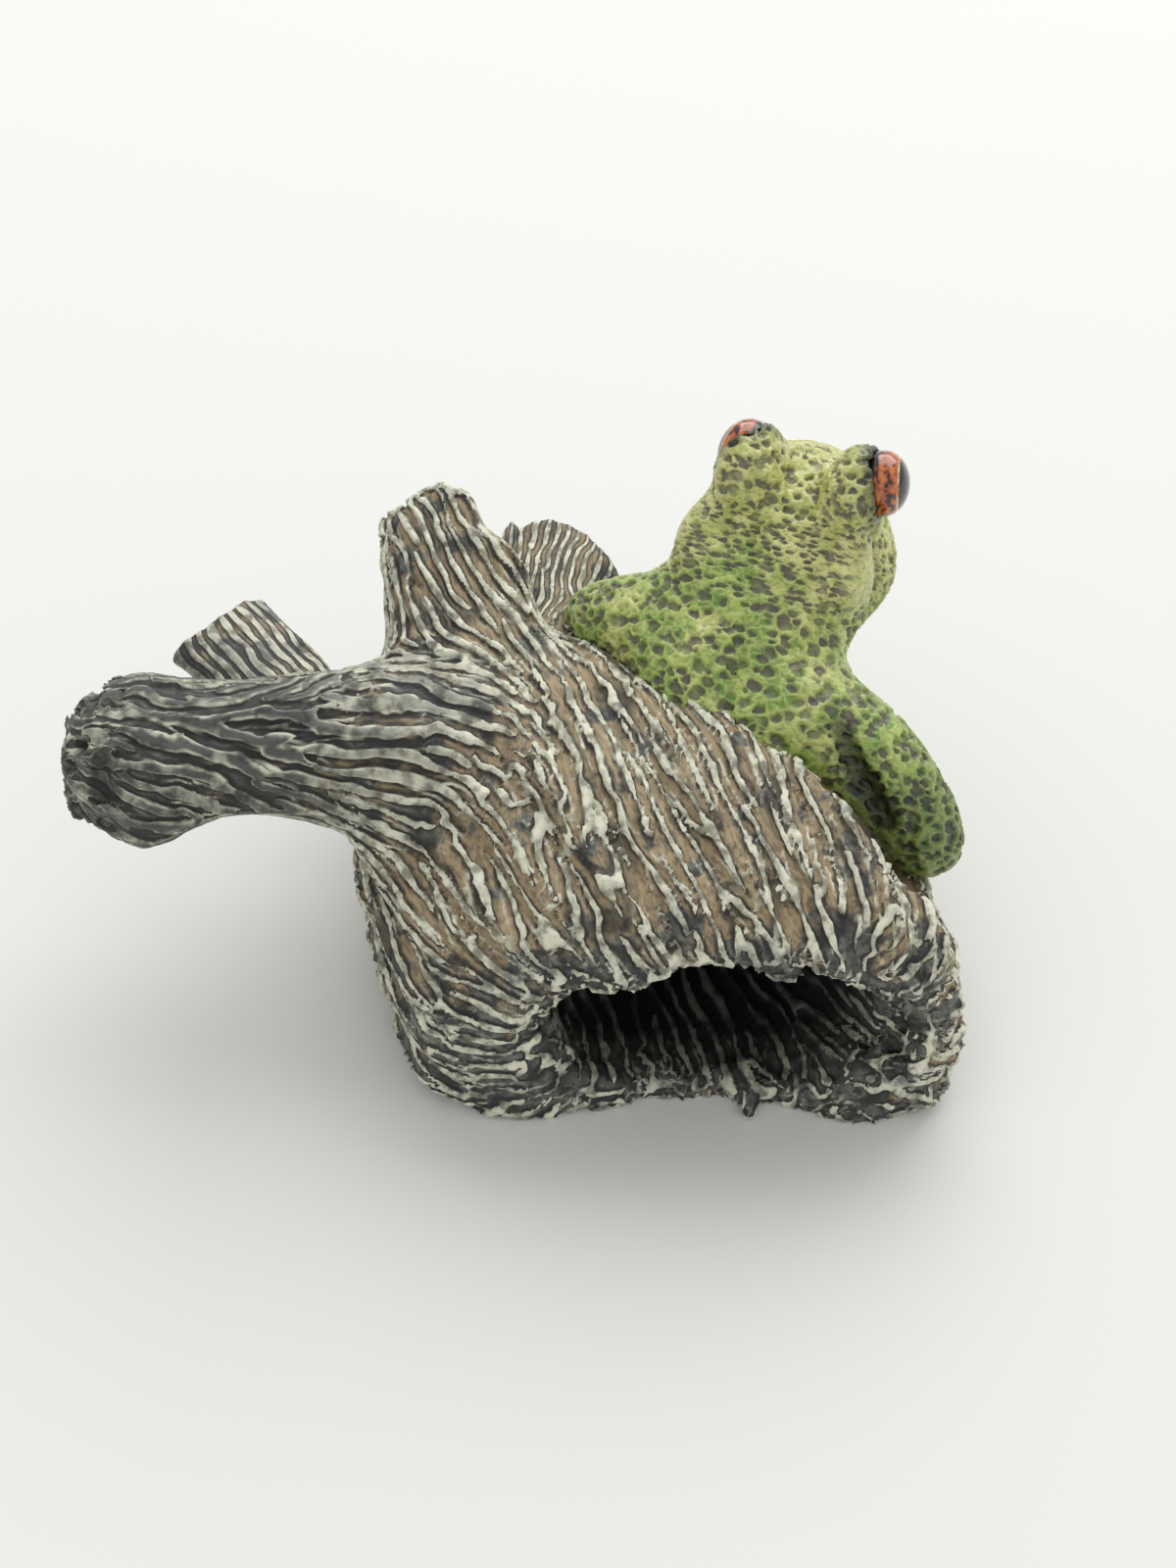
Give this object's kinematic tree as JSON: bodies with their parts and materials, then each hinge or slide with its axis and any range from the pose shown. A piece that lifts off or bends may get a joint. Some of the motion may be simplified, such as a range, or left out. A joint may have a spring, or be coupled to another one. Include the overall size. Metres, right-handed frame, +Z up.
{
  "type": "frog figurine",
  "caption": "Painted resin ornament of a tree frog climbing out of a hollow broken log, with broken limbs and glossy eyes, free-standing on a flat base.",
  "frame": {"origin": "on the flat base under the middle of the log", "axes": "+Z up, +Y away from the log's open near end, +X to the right of someone who looks into that open end; the long limb points to -X"},
  "size_m": [0.1551, 0.1125, 0.0904],
  "materials": {
    "driftwood_paint": "matt washed paint over cast bark, dark in the cells and pale grey on the ridges",
    "frog_paint": "satin green paint over pitted skin, dark in the pits",
    "eye_enamel": "glossy orange enamel with a black pupil"
  },
  "bodies": {
    "root": {"log_trunk": "driftwood_paint", "left_limb": "driftwood_paint", "rear_limb": "driftwood_paint", "side_twig": "driftwood_paint", "bark_flap": "driftwood_paint", "frog_body": "frog_paint", "frog_left_arm": "frog_paint", "frog_right_arm": "frog_paint", "frog_left_eye": "eye_enamel", "frog_right_eye": "eye_enamel"}
  },
  "joints": []
}
